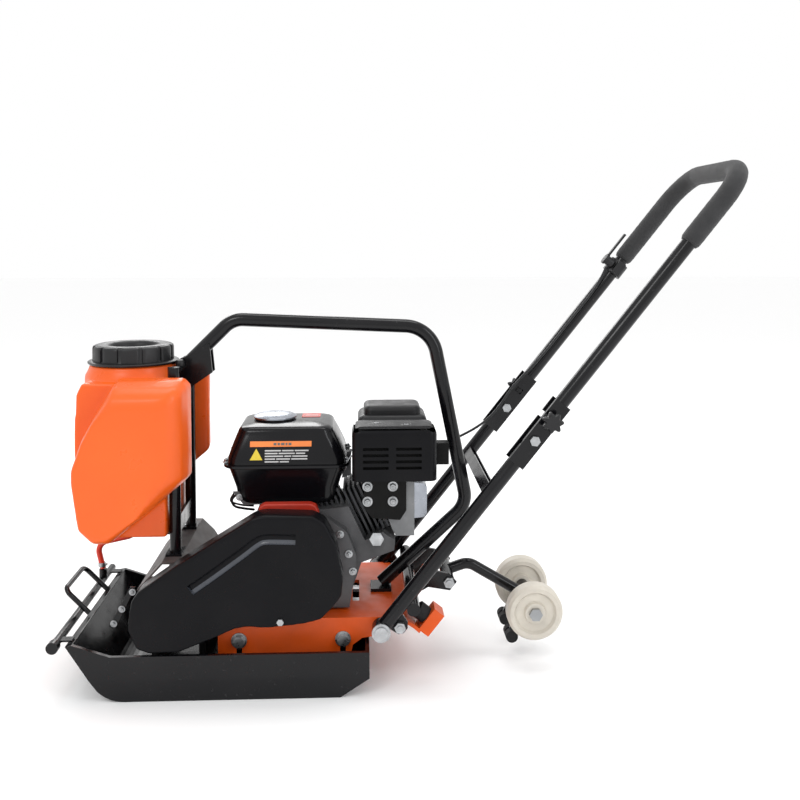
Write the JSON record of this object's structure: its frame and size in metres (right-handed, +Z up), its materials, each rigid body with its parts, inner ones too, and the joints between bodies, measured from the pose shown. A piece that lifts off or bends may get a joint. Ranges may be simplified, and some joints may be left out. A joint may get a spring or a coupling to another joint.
{
  "type": "plate compactor",
  "caption": "Forward vibratory plate compactor: petrol engine on a steel plate, belt-driven exciter, orange water tank, lifting hoop, folding handle and swing-down wheels.",
  "frame": {"origin": "middle of the ground face of the base plate, on the floor", "axes": "+X to the rear, towards the operator and the handle; +Y to the machine's right side; +Z up"},
  "size_m": [1.2021, 0.375, 0.9074],
  "materials": {
    "black_paint": "gloss black powder coat",
    "satin_black": "satin black sheet metal",
    "orange_paint": "orange powder coat",
    "red_paint": "red-orange sheet metal",
    "grey_paint": "light grey painted sheet",
    "cast_black": "black painted casting",
    "cast_alu": "raw die-cast aluminium",
    "dark_alu": "dark cast aluminium fins",
    "steel": "turned steel",
    "zinc": "zinc plated",
    "silver": "bright plated",
    "belt_rubber": "ribbed rubber",
    "rubber": "moulded rubber",
    "orange_plastic": "satin rotomoulded polyethylene",
    "black_plastic": "moulded black plastic",
    "tank_black": "gloss black enamel",
    "red_plastic": "red plastic",
    "hose_red": "red rubber hose",
    "foam": "matt foam sleeve",
    "nylon": "off-white nylon",
    "ceramic": "glazed ceramic",
    "exhaust": "heat-proof black"
  },
  "bodies": {
    "machine": {"base_plate": "black_paint", "exciter_housing": "cast_black", "exciter_covers": "cast_black", "exciter_bearings": "steel", "machine_bolts": "zinc", "belt_guard_cover": "satin_black", "belt_guard_back": "red_paint", "drive_belt": "belt_rubber", "engine_bed": "orange_paint", "rubber_mounts": "rubber", "mount_bolts": "zinc", "front_hood": "grey_paint", "crankcase": "cast_alu", "side_cover": "cast_alu", "cylinder_block": "dark_alu", "cylinder_head": "cast_alu", "rocker_cover": "silver", "spark_plug": "ceramic", "fuel_tank": "tank_black", "muffler": "exhaust", "muffler_guard": "satin_black", "air_cleaner_base": "black_plastic", "air_cleaner_lid": "black_plastic", "carburettor": "cast_alu", "fan_housing": "satin_black", "recoil_cover": "satin_black", "hoop": "black_paint", "front_posts": "black_paint", "water_tank": "orange_plastic", "water_valve": "black_plastic", "water_hose": "hose_red", "spray_bar": "black_paint", "carry_handle": "black_paint", "throttle_cable": "black_plastic"},
    "crank_rotor": {"crankshaft": "steel", "clutch_drum": "steel", "flywheel": "cast_black"},
    "exciter_rotor": {"exciter_shaft": "steel", "driven_pulley": "cast_black"},
    "tank_cap_body": {"tank_cap": "black_plastic"},
    "fuel_cap_body": {"fuel_cap": "silver"},
    "valve_lever_body": {"valve_lever": "red_plastic"},
    "recoil_grip_body": {"recoil_grip": "black_plastic"},
    "switch_body": {"engine_switch": "red_plastic"},
    "throttle_arm_body": {"throttle_arm": "zinc"},
    "choke_body": {"choke_lever": "black_plastic"},
    "fuel_tap_body": {"fuel_tap": "black_plastic"},
    "handle_lower": {"lower_handle": "black_paint", "handle_bolts": "zinc"},
    "handle_upper": {"upper_handle": "black_paint", "foam_grip": "foam", "throttle_clamp": "black_plastic"},
    "throttle_lever_body": {"throttle_lever": "black_plastic"},
    "knob_left_body": {"knob_left": "black_plastic"},
    "knob_right_body": {"knob_right": "black_plastic"},
    "wheel_kit": {"wheel_arm": "black_paint", "wheel_axle": "steel", "wheel_buffers": "rubber"},
    "wheel_left_body": {"wheel_left": "nylon"},
    "wheel_right_body": {"wheel_right": "nylon"}
  },
  "joints": [
    {"name": "crank_spin", "type": "hinge", "parent": "machine", "child": "crank_rotor", "pos_m": [0.097, 0, 0.226], "axis": [0, 1, 0], "continuous": true},
    {"name": "exciter_spin", "type": "hinge", "parent": "machine", "child": "exciter_rotor", "pos_m": [-0.098, 0, 0.132], "axis": [0, 1, 0], "continuous": true},
    {"name": "tank_cap_turn", "type": "hinge", "parent": "machine", "child": "tank_cap_body", "pos_m": [-0.191, 0, 0.545], "axis": [0, 0, 1], "range_deg": [-360, 0]},
    {"name": "fuel_cap_turn", "type": "hinge", "parent": "machine", "child": "fuel_cap_body", "pos_m": [0.064, 0, 0.436], "axis": [0, 0, 1], "range_deg": [-90, 0]},
    {"name": "water_valve_turn", "type": "hinge", "parent": "machine", "child": "valve_lever_body", "pos_m": [-0.22, 0.118, 0.229], "axis": [0, 1, 0], "range_deg": [0, 90]},
    {"name": "recoil_pull", "type": "slide", "parent": "machine", "child": "recoil_grip_body", "axis": [0.5, 0, 0.866], "range_m": [0, 0.5], "stiffness_N_per_m": 20, "springref_m": -0.1},
    {"name": "switch_rock", "type": "hinge", "parent": "machine", "child": "switch_body", "pos_m": [0.022, 0.08, 0.157], "axis": [0, 1, 0], "range_deg": [-10, 10]},
    {"name": "throttle_arm_swing", "type": "hinge", "parent": "machine", "child": "throttle_arm_body", "pos_m": [0.252, 0.111, 0.306], "axis": [0, 1, 0], "range_deg": [-30, 0]},
    {"name": "choke_swing", "type": "hinge", "parent": "machine", "child": "choke_body", "pos_m": [0.232, 0.111, 0.326], "axis": [0, 1, 0], "range_deg": [0, 45]},
    {"name": "fuel_tap_swing", "type": "hinge", "parent": "machine", "child": "fuel_tap_body", "pos_m": [0.232, 0.111, 0.282], "axis": [0, 1, 0], "range_deg": [0, 45]},
    {"name": "handle_rock", "type": "hinge", "parent": "machine", "child": "handle_lower", "pos_m": [0.254, 0, 0.105], "axis": [0, -1, 0], "range_deg": [0, 1.5]},
    {"name": "handle_fold", "type": "hinge", "parent": "handle_lower", "child": "handle_upper", "pos_m": [0.51178, 0, 0.43023], "axis": [0, -1, 0], "range_deg": [0, 105], "deforming": ["throttle_cable"]},
    {"name": "throttle_lever_swing", "type": "hinge", "parent": "handle_upper", "child": "throttle_lever_body", "pos_m": [0.71034, 0.134, 0.72584], "axis": [-0.7837, 0, 0.6211], "range_deg": [-60, 0]},
    {"name": "knob_left_turn", "type": "hinge", "parent": "handle_upper", "child": "knob_left_body", "pos_m": [0.53849, -0.15, 0.46393], "axis": [0, 1, 0], "continuous": true},
    {"name": "knob_right_turn", "type": "hinge", "parent": "handle_upper", "child": "knob_right_body", "pos_m": [0.53849, 0.15, 0.46393], "axis": [0, 1, 0], "continuous": true},
    {"name": "wheel_kit_swing", "type": "hinge", "parent": "handle_lower", "child": "wheel_kit", "pos_m": [0.37804, 0, 0.15202], "axis": [0, 1, 0], "range_deg": [0, 105]},
    {"name": "wheel_left_spin", "type": "hinge", "parent": "wheel_kit", "child": "wheel_left_body", "pos_m": [0.531, -0.07, 0.1], "axis": [0, 1, 0], "continuous": true},
    {"name": "wheel_right_spin", "type": "hinge", "parent": "wheel_kit", "child": "wheel_right_body", "pos_m": [0.531, 0.07, 0.1], "axis": [0, 1, 0], "continuous": true}
  ],
  "couplings": [
    {"joint": "exciter_spin", "follows": "crank_spin", "ratio": 1.5556},
    {"joint": "throttle_arm_swing", "follows": "throttle_lever_swing", "ratio": 0.5}
  ]
}
